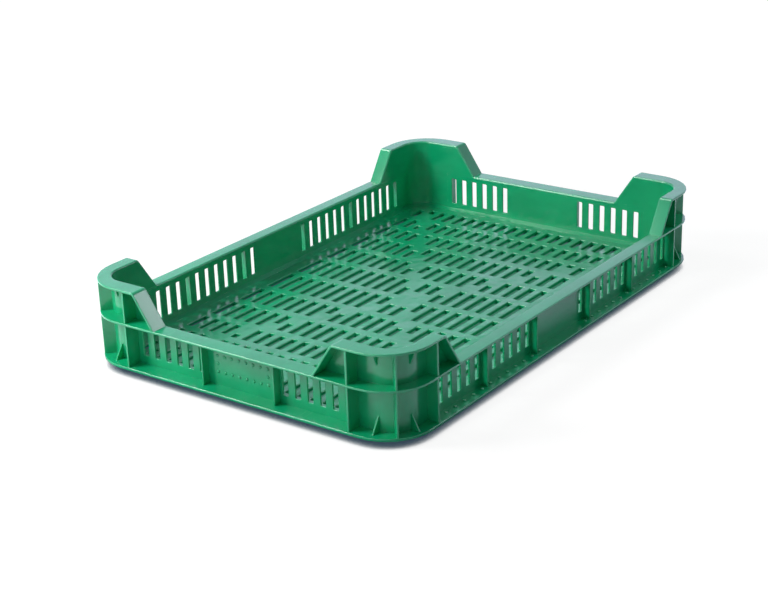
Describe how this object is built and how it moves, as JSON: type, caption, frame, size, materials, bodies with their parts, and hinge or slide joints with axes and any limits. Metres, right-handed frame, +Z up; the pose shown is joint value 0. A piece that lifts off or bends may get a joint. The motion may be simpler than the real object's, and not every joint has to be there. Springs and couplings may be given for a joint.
{
  "type": "stacking fruit crate",
  "caption": "Low open plastic tray for fruit with slotted floor and walls, wide rims and tall stacking corner posts.",
  "frame": {"origin": "on the ground under the middle of the crate", "axes": "+Z up, +X along the long side, +Y along the short side towards the back"},
  "size_m": [0.6, 0.4, 0.095],
  "materials": {
    "green_plastic": "moulded polypropylene with a soft gloss"
  },
  "bodies": {
    "root": {"corner_post_back_left": "green_plastic", "corner_post_back_right": "green_plastic", "corner_post_front_left": "green_plastic", "corner_post_front_right": "green_plastic", "floor_beam_1": "green_plastic", "floor_beam_10": "green_plastic", "floor_beam_11": "green_plastic", "floor_beam_2": "green_plastic", "floor_beam_3": "green_plastic", "floor_beam_4": "green_plastic", "floor_beam_5": "green_plastic", "floor_beam_6": "green_plastic", "floor_beam_7": "green_plastic", "floor_beam_8": "green_plastic", "floor_beam_9": "green_plastic", "floor_panel": "green_plastic", "foot_corner_back_left": "green_plastic", "foot_corner_back_right": "green_plastic", "foot_corner_front_left": "green_plastic", "foot_corner_front_right": "green_plastic", "foot_rail_back": "green_plastic", "foot_rail_front": "green_plastic", "foot_rail_left": "green_plastic", "foot_rail_right": "green_plastic", "long_ledge_back": "green_plastic", "long_ledge_front": "green_plastic", "long_rib_back_1": "green_plastic", "long_rib_back_2": "green_plastic", "long_rib_back_3": "green_plastic", "long_rib_back_4": "green_plastic", "long_rib_front_1": "green_plastic", "long_rib_front_2": "green_plastic", "long_rib_front_3": "green_plastic", "long_rib_front_4": "green_plastic", "long_rim_back": "green_plastic", "long_rim_front": "green_plastic", "long_wall_back": "green_plastic", "long_wall_front": "green_plastic", "short_ledge_left": "green_plastic", "short_ledge_right": "green_plastic", "short_rib_left_1": "green_plastic", "short_rib_left_2": "green_plastic", "short_rib_right_1": "green_plastic", "short_rib_right_2": "green_plastic", "short_rim_left": "green_plastic", "short_rim_right": "green_plastic", "short_wall_left": "green_plastic", "short_wall_right": "green_plastic", "toe_strip_back": "green_plastic", "toe_strip_front": "green_plastic", "toe_strip_left": "green_plastic", "toe_strip_right": "green_plastic"}
  },
  "joints": []
}
